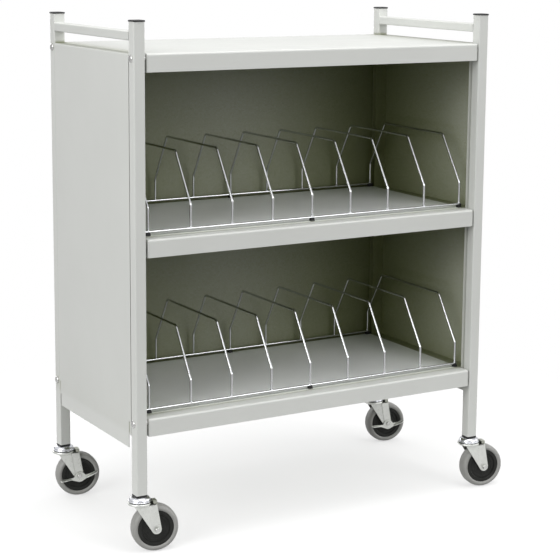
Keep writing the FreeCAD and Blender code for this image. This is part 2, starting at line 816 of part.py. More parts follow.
def make_swivel_bells():
    """Domed chrome covers over the swivel bearings, fixed to the posts."""
    body = swivel_body("swivel_bells")
    bell = pad(body, circles(body, "XY", "bell_diameter", lift="bell_bottom"), "bell_height")
    bell = fillet(body, bell, edges(bell, z="bell_top"), "bell_round")
    cavity = circles(body, "XY", "bell_diameter - 2 * bell_wall", lift="bell_bottom")
    pocket(body, cavity, "bell_cavity", forwards=True)
    drill(body, "XY", "kingpin_bore", [(0, 0)], "bell_bottom", "bell_height")
    at_every_corner(body)


def make_swivel_bearings():
    """Thrust rings between the bells and the forks' crowns."""
    body = swivel_body("swivel_bearings")
    ring = circles(body, "XY", "bearing_diameter", lift="bearing_bottom")
    add_circle(ring, 0, 0, "kingpin_bore + 2 * bearing_land")
    pad(body, ring, "bearing_height")
    at_every_corner(body)


def caster_body(name, corner):
    """A body on one caster's swivel axis at floor level, x pointing along its trail."""
    x, y = CORNERS[corner]
    return new_body(f"{name}_{corner}", x, y, 0, "rotation(vector(0; 0; 1); -caster_turn)")


def wheel_body(name, corner, tilt="0"):
    """A body whose origin is the middle of one caster's wheel, y along its axle."""
    x, y = CORNERS[corner]
    turn = f"rotation(vector(0; 0; 1); -caster_turn) * rotation(vector(0; 1; 0); {tilt})"
    place = (f"{x} + trail * turn_cos", f"{y} - trail * turn_sin", "wheel_radius")
    return new_body(f"{name}_{corner}", *place, turn)


def leg_outline(body, lift):
    """One fork leg seen from the side: wide at the crown, round about the axle."""
    sketch = new_sketch(body, "XZ", lift)
    top = "crown_bottom + leg_thickness"
    lead, back = Vector(value("-leg_lead"), value(top), 0), Vector(value("leg_back"), value(top), 0)
    axle, radius = Vector(value("trail"), value("wheel_radius"), 0), value("leg_end_radius")
    back_touch = touching_point(back, axle, radius, 1)
    lead_touch = touching_point(lead, axle, radius, -1)
    arc, turned_round = arc_between(lead_touch, back_touch, axle)
    sketch.addGeometry(Part.LineSegment(lead, back), False)
    sketch.addGeometry(Part.LineSegment(back, back_touch), False)
    sketch.addGeometry(arc, False)
    sketch.addGeometry(Part.LineSegment(lead_touch, lead), False)
    first, last = (2, 1) if turned_round else (1, 2)
    sketch.addConstraint(Sketcher.Constraint("Coincident", 0, 2, 1, 1))
    sketch.addConstraint(Sketcher.Constraint("Coincident", 3, 2, 0, 1))
    sketch.addConstraint(Sketcher.Constraint("Tangent", 1, 2, 2, last))
    sketch.addConstraint(Sketcher.Constraint("Tangent", 2, first, 3, 1))
    fix_point(sketch, 0, 1, "-leg_lead", top)
    fix_point(sketch, 0, 2, "leg_back", top)
    fix_point(sketch, 2, 3, "trail", "wheel_radius")
    add_fixed(sketch, "Radius", "leg_end_radius", 2)
    return sketch


def touching_point(point, centre, radius, way):
    """Where a line from the point touches the circle, on the given side of its centre."""
    towards = point - centre
    spread = math.acos(radius / towards.Length)
    angle = math.atan2(towards.y, towards.x) - way * spread
    return centre + Vector(math.cos(angle), math.sin(angle), 0) * radius


def make_fork(corner):
    """A stamped fork: round crown, tail plate with an upturned tab, two tapered legs."""
    body = caster_body("fork", corner)
    crown = pad(body, circles(body, "XY", "crown_diameter", lift="crown_bottom"), "crown_thickness")
    fillet(body, crown, edges(crown, z="crown_top"), "crown_round")
    size = ("leg_back", "2 * leg_outside", "leg_thickness")
    box(body, 0, "-leg_outside", "crown_bottom", *size)
    size = ("leg_thickness", "tab_width", "leg_thickness + tab_height")
    box(body, "leg_back - leg_thickness", "-tab_width / 2", "crown_bottom", *size)
    pad(body, leg_outline(body, "leg_inside"), "leg_thickness")
    pad(body, leg_outline(body, "-leg_outside"), "leg_thickness")
    drill(body, "XY", "kingpin_bore", [(0, 0)], "crown_bottom", "crown_thickness")
    drill(body, "XZ", "axle_bore", [("trail", "wheel_radius")], "-leg_outside", "2 * leg_outside")


def make_tyre(corner):
    body = wheel_body("tyre", corner)
    section = rectangle(body, "YZ", "-tyre_width / 2", "tyre_width / 2", "hub_diameter / 2", "wheel_radius")
    tyre = turned(body, section, "H_Axis")
    names = [n for y in ("-tyre_width / 2", "tyre_width / 2") for n in outer_rim(tyre, y)]
    fillet(body, tyre, names, "tyre_shoulder")


def outer_rim(tyre, y):
    """The tyre's tread-side edge in one of its side faces."""
    middle = value("(hub_diameter + wheel_diameter) / 4")
    return [name for name in edges(tyre, y=y) if reach_of(tyre, name) > middle]


def reach_of(feature, name):
    point = feature.Shape.getElement(name).discretize(2)[0]
    return math.hypot(point.x, point.z)


def make_hub(corner):
    """A moulded hub: boss, web, raised ring and the rim that the tyre sits on."""
    body = wheel_body("hub", corner)
    steps = [("hub_boss_width", "hub_boss_diameter"), ("hub_web_width", "hub_ring_diameter")]
    half = [("hub_boss_width / 2", "bushing_diameter / 2")]
    for number, (width, diameter) in enumerate(steps):
        following = ("hub_web_width", "hub_rim_width")[number]
        half += [(f"{width} / 2", f"{diameter} / 2"), (f"{following} / 2", f"{diameter} / 2")]
    half += [("hub_rim_width / 2", "hub_diameter / 2")]
    points = half + [(f"-{y}", z) for y, z in reversed(half)]
    turned(body, outline(body, "YZ", points), "H_Axis")


def make_bushing(corner):
    """A sleeve through the hub that turns on the axle between the fork's legs."""
    body = wheel_body("wheel_bushing", corner)
    half = "(leg_inside - end_clearance)"
    section = rectangle(body, "YZ", f"-{half}", half, "axle_bore / 2", "bushing_diameter / 2")
    turned(body, section, "H_Axis")


def axle_seat(corner):
    """How far out the axle's head sits: past the brake lever where there is one."""
    return "(brake_outside + brake_gap)" if corner in BRAKED_CORNERS else "leg_outside"


def make_axle_bolt(corner):
    body = wheel_body("axle_bolt", corner)
    seat, end = f"-{axle_seat(corner)}", "leg_outside + axle_nut_height + axle_excess"
    face = f"({seat} - axle_head_height)"
    points = [(end, 0), (face, 0)]
    points += [(y, "axle_head_diameter / 2") for y in (face, seat)]
    points += [(y, "axle_diameter / 2") for y in (seat, end)]
    bolt = turned(body, outline(body, "YZ", points), "H_Axis")
    fillet(body, bolt, edges(bolt, y=face), "axle_head_round")


def make_axle_nut(corner):
    body = wheel_body("axle_nut", corner)
    sketch = new_sketch(body, "XZ", "-leg_outside")
    add_hexagon(sketch, "axle_nut_flats")
    add_circle(sketch, 0, 0, "axle_bore")
    pad(body, sketch, "axle_nut_height", backwards=True)


def make_brake_lever(corner):
    """A see-saw lever on the axle: upright plate and a V-shaped tread along its foot."""
    body = wheel_body("brake_lever", corner, "-brake_tilt")
    tip, foot = "(brake_tip_rise - brake_centre_drop)", "-brake_centre_drop"
    top_half = "brake_top_width / 2"
    tread_top = f"{tip} + brake_thickness"
    plate = [(0, foot), ("brake_reach", tip), ("brake_reach", tread_top), (top_half, "brake_top")]
    plate += [(f"-{top_half}", "brake_top"), ("-brake_reach", tread_top), ("-brake_reach", tip)]
    pad(body, outline(body, "XZ", plate, "brake_inside"), "brake_thickness")
    tread = [(0, foot), ("brake_reach", tip), ("brake_reach", tread_top)]
    tread += [(0, f"{foot} + brake_thickness")]
    tread += [("-brake_reach", tread_top), ("-brake_reach", tip)]
    pad(body, outline(body, "XZ", tread, "brake_inside"), "brake_pad_width")
    drill(body, "XZ", "axle_bore", [(0, 0)], "brake_inside", "brake_thickness")


# ---------------------------------------------------------------- assembly

def build():
    for corner, (x, y) in CORNERS.items():
        make_post(f"post_{corner}", x, y)
    for side in SIDES:
        make_handle(side)
        make_side_panel(side)
    for name, height in SHELVES.items():
        make_shelf(name, height)
        make_shelf_skirts(name, height)
    for shelf in RACK_SHELVES:
        make_divider_tray(shelf)
        make_divider_rails(shelf)
        make_divider_hoops(shelf)
        make_rail_feet(shelf)
    make_caps()
    make_back_panel()
    make_back_screws()
    make_frame_bolts()
    make_bolt_spacers()
    make_frame_nuts()
    make_caster_plugs()
    make_kingpins()
    make_swivel_bells()
    make_swivel_bearings()
    for corner in CORNERS:
        make_fork(corner)
        make_tyre(corner)
        make_hub(corner)
        make_bushing(corner)
        make_axle_bolt(corner)
        make_axle_nut(corner)
    for corner in BRAKED_CORNERS:
        make_brake_lever(corner)
    doc.recompute()


def check():
    """Stop before anything is written if a feature failed or a body isn't sound."""
    failed = [thing.Name for thing in doc.Objects if {"Invalid", "Error"} & set(thing.State)]
    bodies = doc.findObjects("PartDesign::Body")
    unsound = [body.Label for body in bodies if body.Shape.isNull() or not body.Shape.isValid()]
    if failed or unsound:
        raise RuntimeError(f"failed features: {failed}; unsound bodies: {unsound}")
    return bodies


def write(bodies):
    os.makedirs("parts", exist_ok=True)
    for body in bodies:
        body.Shape.exportStep(f"parts/{body.Label}.step")


build()
write(check())
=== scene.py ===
import json
import math
import random

import bmesh
import bpy
from mathutils import Matrix, Vector


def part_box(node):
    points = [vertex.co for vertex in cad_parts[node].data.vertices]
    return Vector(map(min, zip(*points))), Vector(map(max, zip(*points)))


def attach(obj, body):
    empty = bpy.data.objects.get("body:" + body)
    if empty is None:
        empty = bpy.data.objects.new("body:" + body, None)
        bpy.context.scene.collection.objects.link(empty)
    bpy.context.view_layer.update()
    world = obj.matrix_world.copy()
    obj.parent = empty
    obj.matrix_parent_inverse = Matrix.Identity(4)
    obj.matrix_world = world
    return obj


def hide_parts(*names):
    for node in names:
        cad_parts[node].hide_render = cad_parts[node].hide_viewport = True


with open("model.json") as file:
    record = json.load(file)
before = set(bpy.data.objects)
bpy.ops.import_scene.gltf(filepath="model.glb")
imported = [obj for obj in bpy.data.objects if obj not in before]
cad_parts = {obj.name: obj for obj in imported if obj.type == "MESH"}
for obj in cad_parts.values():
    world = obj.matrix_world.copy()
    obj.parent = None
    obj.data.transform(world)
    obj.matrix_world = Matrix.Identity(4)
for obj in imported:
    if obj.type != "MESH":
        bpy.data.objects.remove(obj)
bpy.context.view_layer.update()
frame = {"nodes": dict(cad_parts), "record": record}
NODES = frame["nodes"]
RECORD = frame["record"]
SLOTS = {entry["node"]: entry["material_slot"] for entry in RECORD["subparts"]}
JOINTS = {joint["name"]: joint for joint in RECORD["behaviour"]["joints"]}
CORNERS = ("front_left", "front_right", "rear_left", "rear_right")
BRAKED = ("rear_left", "rear_right")
SIDES = ("left", "right")
SHELVES = ("middle", "bottom")
MM = 0.001
CREASE = math.radians(35)
BROAD = 500 * MM * MM      # faces larger than this are flat sheet and shaded flat
SAME_PLACE = 0.0005        # vertices of a piece that are nearer than this, in mm, become one
WHITE = (1, 1, 1)
STAND = Matrix(((1, 0, 0, 0), (0, 0, -1, 0), (0, 1, 0, 0), (0, 0, 0, 1)))   # y up, z to -y


# ---------------------------------------------------------------- materials

SHEEN_PATCH = 3.1          # roughness patches, finer than the patches of tone by this much
LEAST_ROUGHNESS = 0.03
AO_SAMPLES = 6
AO_RANGE = (0.19, 0.87)    # shut in and open, as the Ambient Occlusion node gives them
# The olive cast is painted shade, for the deepest places inside the shelves.
OLIVE_SHADE = (0.96, 1.0, 0.68)  # the cast of the deepest places inside the shelves
OLIVE_SHADE_RANGE = (0.2, 0.72)


def new_material(name):
    """A material with a Principled shader, and what is needed to wire nodes into it."""
    material = bpy.data.materials.new(name)
    material.use_nodes = True
    tree = material.node_tree
    return material, tree, tree.nodes["Principled BSDF"]


def coordinates(tree):
    """The object's own coordinates."""
    return tree.nodes.new("ShaderNodeTexCoord").outputs["Object"]


def noise(tree, scale, detail=2.0):
    """Soft noise fixed to the object."""
    texture = tree.nodes.new("ShaderNodeTexNoise")
    texture.inputs["Scale"].default_value = scale
    texture.inputs["Detail"].default_value = detail
    tree.links.new(coordinates(tree), texture.inputs["Vector"])
    return texture.outputs["Fac"]


def ramp(tree, source, low, high, start=0.3, end=0.7):
    """Colours or values between low and high, by a texture's value."""
    node = tree.nodes.new("ShaderNodeValToRGB")
    node.color_ramp.elements[0].position = start
    node.color_ramp.elements[0].color = (*low, 1)
    node.color_ramp.elements[1].position = end
    node.color_ramp.elements[1].color = (*high, 1)
    tree.links.new(source, node.inputs["Fac"])
    return node.outputs["Color"]


def mixer(tree, kind):
    """A Mix node for colours."""
    node = tree.nodes.new("ShaderNodeMix")
    node.data_type = "RGBA"
    node.blend_type = kind
    return node


def multiply(tree, first, second):
    """The product of two colours."""
    node = mixer(tree, "MULTIPLY")
    node.inputs["Factor"].default_value = 1.0
    tree.links.new(first, node.inputs["A"])
    tree.links.new(second, node.inputs["B"])
    return node.outputs["Result"]


def outside_of(tree, limits):
    """0 inside the limits and 1 outside, each an axis with its inner and outer coordinate."""
    place = tree.nodes.new("ShaderNodeNewGeometry")
    split = tree.nodes.new("ShaderNodeSeparateXYZ")
    tree.links.new(place.outputs["Position"], split.inputs["Vector"])
    outside = None
    for axis, inner, outer in limits:
        end = tree.nodes.new("ShaderNodeMapRange")
        end.inputs["From Min"].default_value = inner
        end.inputs["From Max"].default_value = outer
        tree.links.new(split.outputs[axis], end.inputs["Value"])
        if outside is None:
            outside = end.outputs["Result"]
            continue
        more = tree.nodes.new("ShaderNodeMath")
        more.operation = "MAXIMUM"
        tree.links.new(outside, more.inputs[0])
        tree.links.new(end.outputs["Result"], more.inputs[1])
        outside = more.outputs["Value"]
    return outside


def painted_shade_tint(tree, dark, reach, limits=None):
    """Painted shade: white in the open, towards a dark tint where nearby surfaces shut the light
    out.

    With limits, the painted shade turns olive in the deepest places and stays inside the limits.
    """
    node = tree.nodes.new("ShaderNodeAmbientOcclusion")
    node.samples = AO_SAMPLES
    node.inputs["Distance"].default_value = reach
    tint = ramp(tree, node.outputs["AO"], dark, WHITE, *AO_RANGE)
    if limits is None:
        return tint
    tint = multiply(tree, tint, ramp(tree, node.outputs["AO"], OLIVE_SHADE, WHITE, *OLIVE_SHADE_RANGE))
    lift = mixer(tree, "MIX")
    lift.inputs["B"].default_value = (*WHITE, 1)
    tree.links.new(outside_of(tree, limits), lift.inputs["Factor"])
    tree.links.new(tint, lift.inputs["A"])
    return lift.outputs["Result"]


def bump(tree, shader, height, strength, distance):
    """A fine relief in the shader's normal."""
    node = tree.nodes.new("ShaderNodeBump")
    node.inputs["Strength"].default_value = strength
    node.inputs["Distance"].default_value = distance
    tree.links.new(height, node.inputs["Height"])
    tree.links.new(node.outputs["Normal"], shader.inputs["Normal"])


def surface(name, colour, spread, rough, metallic=0.0, patch=6.0, grain=700.0, relief=0.1,
            relief_depth=0.0002, rough_spread=0.05, specular=0.5, painted_shade=None):
    """A finish with soft patches of tone and roughness, a fine relief and, if asked, painted
    shade.
    """
    material, tree, shader = new_material(name)
    low = [max(c - spread, 0.0) for c in colour]
    high = [min(c + spread, 1.0) for c in colour]
    tone = ramp(tree, noise(tree, patch, 3.0), low, high)
    if painted_shade:
        tone = multiply(tree, tone, painted_shade_tint(tree, *painted_shade))
    tree.links.new(tone, shader.inputs["Base Color"])
    sheen = noise(tree, patch * SHEEN_PATCH, 4.0)
    low, high = [[max(rough + way * rough_spread, LEAST_ROUGHNESS)] * 3 for way in (-1, 1)]
    tree.links.new(ramp(tree, sheen, low, high), shader.inputs["Roughness"])
    bump(tree, shader, noise(tree, grain, 2.0), relief, relief_depth)
    shader.inputs["Metallic"].default_value = metallic
    shader.inputs["Specular IOR Level"].default_value = specular
    return material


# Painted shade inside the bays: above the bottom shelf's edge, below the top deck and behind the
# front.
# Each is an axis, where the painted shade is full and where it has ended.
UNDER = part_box("shelf_skirts_bottom")[0][2]
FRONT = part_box("shelf_skirts_bottom")[0][1]
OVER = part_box("shelf_top")[1][2]
BAYS = (
    ("Z", UNDER + 0.012, UNDER),
    ("Z", OVER + 0.001, OVER + 0.006),
    ("Y", FRONT + 0.045, FRONT + 0.018),
)

# Painted shade: each is a dark tint, how far in metres a surface looks for others, and the limits,
# if any.
INSIDE_SHADE = ((0.17, 0.185, 0.065), 0.43, BAYS)
RECESS_SHADE = ((0.30, 0.32, 0.27), 0.012)
TRAY_SHADE = ((0.72, 0.76, 0.67), 0.20)

# The record's slots, and two finishes of painted shade: a darker zinc for the stop tabs and a dark
# grey for the deck's joint lines.
MATERIALS = {
    # frame_paint's tone is darkened and turned olive by painted shade inside the bays.
    "frame_paint": surface("frame_paint_and_painted_shade", (0.60, 0.61, 0.585), 0.008, 0.36, relief=0.08,
                           grain=1100, specular=0.4, painted_shade=INSIDE_SHADE),
    # tray_paint is darkened by painted shade where the tray is shut in.
    "tray_paint": surface("tray_paint_and_painted_shade", (0.80, 0.815, 0.805), 0.01, 0.34, relief=0.06,
                          grain=1200, painted_shade=TRAY_SHADE),
    "black_plastic": surface("black_plastic_finish", (0.012, 0.012, 0.013), 0.003, 0.42,
                             patch=60, grain=1500, relief=0.15, specular=0.35),
    "wire_chrome": surface("wire_chrome_finish", (0.62, 0.63, 0.645), 0.02, 0.14, 1.0, patch=40,
                           relief=0.02),
    "bright_chrome": surface("bright_chrome_finish", (0.67, 0.68, 0.715), 0.02, 0.27, 1.0,
                             patch=60, relief=0.02),
    # zinc_plate is darkened by painted shade in its recesses.
    "zinc_plate": surface("zinc_plate_and_painted_shade", (0.68, 0.69, 0.66), 0.035, 0.34, 1.0, patch=110,
                          grain=900, relief=0.06, rough_spread=0.08, painted_shade=RECESS_SHADE),
    "fastener_steel": surface("fastener_steel_finish", (0.58, 0.58, 0.57), 0.04, 0.16, 1.0,
                              patch=150, relief=0.05),
    "grey_tread": surface("grey_tread_finish", (0.275, 0.275, 0.262), 0.012, 0.5, patch=45,
                          grain=900, relief=0.2, specular=0.5),
    "hub_plastic": surface("hub_plastic_finish", (0.013, 0.0135, 0.012), 0.004, 0.5, patch=50,
                           grain=1400, relief=0.3, specular=0.25),
    "nylon": surface("nylon_finish", (0.72, 0.71, 0.65), 0.02, 0.5, patch=50, relief=0.05),
    # A darker copy of the zinc, painted shade for the hollow of the stop tabs.
    "zinc_painted_shade": surface("zinc_painted_shade_finish", (0.42, 0.43, 0.375), 0.03, 0.42, 1.0, patch=110,
                         grain=900, relief=0.06),
    # Painted shade: a dark grey for the deck's joint lines.
    "joint_painted_shade": surface("joint_painted_shade_finish", (0.36, 0.365, 0.35), 0.02, 0.6, relief=0.1, grain=900),
}

for node_name, node in NODES.items():
    for holder in node.material_slots:
        holder.material = MATERIALS[SLOTS[node_name]]


# ---------------------------------------------------------------- mesh helpers, in mm

SIDE_SHARE = 0.45          # the most that one rounded corner takes of a side
ON_AXIS = 0.001            # a profile's points nearer than this to the axis lie on it


def add_piece(name, work, slot, body, *nodes, place=None, finish=None):
    """Make an object of the mesh, with its finish, its body and the nodes it stands for."""
    bmesh.ops.remove_doubles(work, verts=work.verts, dist=SAME_PLACE)
    bmesh.ops.recalc_face_normals(work, faces=work.faces)
    if place:
        work.transform(place)
    work.transform(Matrix.Scale(MM, 4))
    mesh = bpy.data.meshes.new(name)
    work.to_mesh(mesh)
    work.free()
    mesh.shade_smooth()
    mesh.set_sharp_from_angle(angle=CREASE)
    for face in mesh.polygons:
        face.use_smooth = face.area < BROAD
    mesh.materials.append(MATERIALS[finish or slot])
    thing = bpy.data.objects.new(name, mesh)
    bpy.context.scene.collection.objects.link(thing)
    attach(thing, body)
    if nodes:
        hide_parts(*nodes)


def join(work, part):
    """Add a part's mesh to the work and free it."""
    mesh = bpy.data.meshes.new("part")
    part.to_mesh(mesh)
    part.free()
    work.from_mesh(mesh)
    bpy.data.meshes.remove(mesh)


def bridge(work, first, second):
    """Faces between two loops of vertices."""
    for number in range(len(first)):
        following = (number + 1) % len(first)
        work.faces.new((first[number], first[following], second[following], second[number]))


def full_turn(steps):
    """Evenly spaced angles round a circle."""
    return [2 * math.pi * step / steps for step in range(steps)]


def softened(points, radius, steps=4):
    """The closed outline with each of its corners turned into a small arc."""
    result = []
    count = len(points)
    for number, point in enumerate(points):
        corner = Vector(point)
        before = Vector(points[number - 1]) - corner
        after = Vector(points[(number + 1) % count]) - corner
        half = before.angle(after) / 2
        reach = min(radius / math.tan(half), before.length * SIDE_SHARE,
                    after.length * SIDE_SHARE)
        size = reach * math.tan(half)
        inwards = (before.normalized() + after.normalized()).normalized()
        centre = corner + inwards * (size / math.sin(half))
        start = corner + before.normalized() * reach - centre
        end = corner + after.normalized() * reach - centre
        for step in range(steps + 1):
            way = start.lerp(end, step / steps).normalized()
            result.append(centre + way * size)
    return result


def lathe(work, profile, segments=72, closed=True):
    """Turn a profile of (radius, height) about the z axis. Open, it ends on the axis."""
    rings = []
    for radius, height in profile:
        if radius < ON_AXIS:
            rings.append([work.verts.new((0, 0, height))])
            continue
        rings.append([work.verts.new((radius * math.cos(t), radius * math.sin(t), height))
                      for t in full_turn(segments)])
    pairs = list(zip(rings, rings[1:])) + ([(rings[-1], rings[0])] if closed else [])
    for low, high in pairs:
        for step in range(segments):
            following = (step + 1) % segments
            corners = [low[step % len(low)], low[following % len(low)],
                       high[following % len(high)], high[step % len(high)]]
            unique = list(dict.fromkeys(corners))
            if len(unique) > 2:
                work.faces.new(unique)


def sharp_edges(work, degrees):
    """The edges at which two faces meet at more than this angle."""
    limit = math.radians(degrees)
    return [e for e in work.edges if e.is_manifold and e.calc_face_angle(0) > limit]


def round_edges(work, edges, size, **options):
    """Bevel the edges in two steps."""
    bmesh.ops.bevel(work, geom=edges, offset=size, segments=2, affect="EDGES", profile=0.5,
                    **options)


def prism(work, outline, low, high, bevel=0.0):
    """A plate with the given outline in x and y, from low to high in z, its rims rounded."""
    bottom = [work.verts.new((x, y, low)) for x, y in outline]
    top = [work.verts.new((x, y, high)) for x, y in outline]
    ends = [work.faces.new(list(reversed(bottom))), work.faces.new(top)]
    bridge(work, bottom, top)
    if bevel:
        rims = dict.fromkeys(edge for face in ends for edge in face.edges)
        round_edges(work, list(rims), bevel, clamp_overlap=True)


def sweep(work, path, radii, sides):
    """A round bar along a closed path; radii gives its radius at each point."""
    count = len(path)
    rings = []
    side = None
    for number in range(count):
        along = (path[(number + 1) % count] - path[number - 1]).normalized()
        if side is None:
            side = along.orthogonal().normalized()
        side = (side - along * side.dot(along)).normalized()
        other = along.cross(side)
        rings.append([
            work.verts.new(path[number]
                           + (side * math.cos(t) + other * math.sin(t)) * radii[number])
            for t in full_turn(sides)])
    for first, second in zip(rings, rings[1:] + rings[:1]):
        bridge(work, first, second)


def in_mm(corner):
    """A corner of a box, in mm."""
    return Vector(corner) / MM


def middle_of(node):
    """The middle of a node's box, in mm."""
    low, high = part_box(node)
    return (in_mm(low) + in_mm(high)) / 2


def caster_place(corner):
    """From a caster's own frame, x along its trail and z up from the floor, to the rack's."""
    swivel = JOINTS[f"swivel_turn_{corner}"]["pos_m"]
    wheel = JOINTS[f"wheel_spin_{corner}"]["pos_m"]
    along = Vector((wheel[0] - swivel[0], wheel[1] - swivel[1]))
    turn = math.atan2(along.y, along.x)
    return Matrix.Translation((swivel[0] / MM, swivel[1] / MM, 0)) @ Matrix.Rotation(turn, 4, "Z")


def wheel_place(corner):
    """From a frame whose z axis is the wheel's axle, pointing behind, to the rack's."""
    swivel = JOINTS[f"swivel_turn_{corner}"]["pos_m"]
    wheel = JOINTS[f"wheel_spin_{corner}"]["pos_m"]
    trail = math.hypot(wheel[0] - swivel[0], wheel[1] - swivel[1]) / MM
    upright = Matrix.Translation((trail, 0, wheel[2] / MM)) @ Matrix.Rotation(-math.pi / 2, 4, "X")
    return caster_place(corner) @ upright


# ---------------------------------------------------------------- casters, each in its own frame

LEG_INSIDE, LEG_OUTSIDE = 18.5, 21.0       # from the middle of the fork to a leg's two faces
CROWN_LOW, CROWN_HIGH = 103.6, 108.1
LEG_TOP = 106.1
LEG_LEAD, TAIL = -16, 32.4                 # where the legs' tops begin and the fork ends
LEG_END_RADIUS = 10.5
AXLE_X, AXLE_Z = 31.5, 50.8
ROLL = 1.1                                 # radius of the rims of pressed covers
LEVER_LOW, LEVER_HIGH = 22.5, 24.0         # the brake lever's plate, out from the middle
BRAKE_TILTS = {"rear_left": math.radians(10.5), "rear_right": math.radians(5)}


def add_bells():
    """Polished pressed covers with a flat shoulder, a cone and a rolled lip."""
    work = bmesh.new()
    profile = [(6.5, 121.3), (15.8, 121.3), (18.8, 120.3), (21.2, 118.4), (22.7, 115.9),
               (23.1, 113.4), (24.5, 112.8), (24.9, 111.7), (24.0, 110.9), (20.0, 110.9),
               (18.2, 112.4), (6.5, 114.2)]
    for corner in CORNERS:
        part = bmesh.new()
        lathe(part, softened(profile, ROLL))
        part.transform(caster_place(corner))
        join(work, part)
    add_piece("caster_bells", work, "bright_chrome", "frame", "swivel_bells")


def leg_points():
    """A leg's top corners and the round end between its two straight sides."""
    lead, back = Vector((LEG_LEAD, LEG_TOP)), Vector((TAIL, LEG_TOP))
    axle = Vector((AXLE_X, AXLE_Z))

    def touch(point, way):
        towards = point - axle
        spread = math.acos(LEG_END_RADIUS / towards.length)
        return math.atan2(towards.y, towards.x) - way * spread

    start, end = touch(back, 1), touch(lead, -1)
    while end > start:
        end -= 2 * math.pi
    steps = 20
    arc = [axle + Vector((math.cos(a), math.sin(a))) * LEG_END_RADIUS
           for a in (start + (end - start) * step / steps for step in range(steps + 1))]
    return lead, back, arc


def add_leg(work, way):
    """One stamped leg: a flat strap down to the axle and a front facet folded inwards."""
    lead, back, arc = leg_points()
    facet_share, fold, rim_size = 0.62, 2.2, 0.55
    crease_top = lead.lerp(back, facet_share)
    facet = [lead, crease_top, arc[-1]]
    strap = [crease_top, back, *arc]
    inside, outside = way * LEG_INSIDE, way * LEG_OUTSIDE
    made = {}

    def corner(point, depth):
        key = (round(point.x, 4), round(point.y, 4), depth)
        if key not in made:
            shift = -way * (fold if point == lead else 0.0)
            made[key] = work.verts.new((point.x, depth + shift, point.y))
        return made[key]

    for depth in (inside, outside):
        for loop in (facet, strap):
            work.faces.new([corner(p, depth) for p in loop])
    rim = [lead, crease_top, back, *arc]
    bridge(work, [corner(p, inside) for p in rim], [corner(p, outside) for p in rim])
    round_edges(work, sharp_edges(work, 60), rim_size)


def add_fork(corner):
    """A pressed fork: a crown with a rolled rim, its tail plate and two legs."""
    work = bmesh.new()
    crown = [(6, CROWN_HIGH), (20.5, CROWN_HIGH), (21.5, 109.5), (24.2, 109.7), (26.0, 108.6),
             (26.4, 106.8), (25.6, 105.0), (23.0, CROWN_LOW), (6, CROWN_LOW)]
    lathe(work, softened(crown, ROLL))
    plate = [(0, -LEG_OUTSIDE), (TAIL, -LEG_OUTSIDE), (TAIL, LEG_OUTSIDE), (0, LEG_OUTSIDE)]
    prism(work, softened(plate, 2.5), CROWN_LOW, LEG_TOP, 0.6)
    for way in (-1, 1):
        leg = bmesh.new()
        add_leg(leg, way)
        join(work, leg)
    add_piece(f"fork_form_{corner}", work, "zinc_plate", f"swivel_{corner}", f"fork_{corner}",
              place=caster_place(corner))


def add_stop(corner):
    """The upturned stop tab at the fork's tail: a small folded plate with closed sides."""
    work = bmesh.new()
    end = 33.0
    hook = [(end - 6, 105.2), (end - 1.6, 105.2), (end - 1.4, 112.8), (23.6, 113.2),
            (23.6, 114.8), (end - 0.8, 114.6), (end, 113.6), (end + 0.2, 103.8), (end - 6, 103.8)]
    web = [(25.6, 104.0), (end - 0.6, 104.0), (end - 0.8, 114.0), (24.4, 114.4)]
    for shape, near, far, rim in ((hook, 2.0, 19.0, 0.4), (web, 15.8, 18.4, 0.2),
                                  (web, 2.8, 5.4, 0.2)):
        piece = bmesh.new()
        prism(piece, shape, near, far, rim)
        piece.transform(STAND)
        join(work, piece)
    # Its darker zinc is painted shade for the tab's hollow.
    add_piece(f"fork_stop_{corner}", work, "zinc_plate", f"swivel_{corner}",
              place=caster_place(corner), finish="zinc_painted_shade")


def add_tyre(corner):
    """A tyre with a flat side wall, a round shoulder and a faint parting line."""
    work = bmesh.new()
    half = [(39.3, 13.6), (40.4, 14.9), (42.6, 15.6), (44.6, 15.5), (47.4, 14.2), (49.4, 11.6),
            (50.5, 7.6), (50.8, 3.0), (50.8, 0.45), (50.55, 0.0)]
    profile = half + [(r, -z) for r, z in reversed(half[:-1])]
    lathe(work, profile, 96)
    add_piece(f"tyre_form_{corner}", work, "grey_tread", f"wheel_{corner}", f"tyre_{corner}",
              place=wheel_place(corner))


def add_hub(corner):
    """A moulded hub: stepped rings, a dished web with small pips and a raised boss."""
    work = bmesh.new()
    half = [(8, 16.4), (12.2, 16.4), (13.0, 15.6), (13.6, 11.6), (16, 10.6), (23.5, 10.2),
            (24.3, 10.9), (26.0, 10.9), (26.8, 10.2), (30.6, 10.3), (31.6, 12.9), (33.2, 13.4),
            (38.2, 13.4), (39.4, 12.6)]
    profile = half + [(r, -z) for r, z in reversed(half)]
    lathe(work, profile, 96)
    pips, pip_circle = 6, 20
    pip_profile = [(0, 11.3), (1.4, 11.3), (1.8, 10.9), (1.8, 9.6), (0, 9.6)]
    for number in range(pips):
        turn = 2 * math.pi * (number + 0.5) / pips
        for way in (-1, 1):
            pip = bmesh.new()
            lathe(pip, pip_profile, 16, closed=False)
            if way < 0:
                pip.transform(Matrix.Scale(-1, 4, (0, 0, 1)))
            pip.transform(Matrix.Translation((pip_circle * math.cos(turn),
                                              pip_circle * math.sin(turn), 0)))
            join(work, pip)
    add_piece(f"hub_form_{corner}", work, "hub_plastic", f"wheel_{corner}", f"hub_{corner}",
              place=wheel_place(corner))


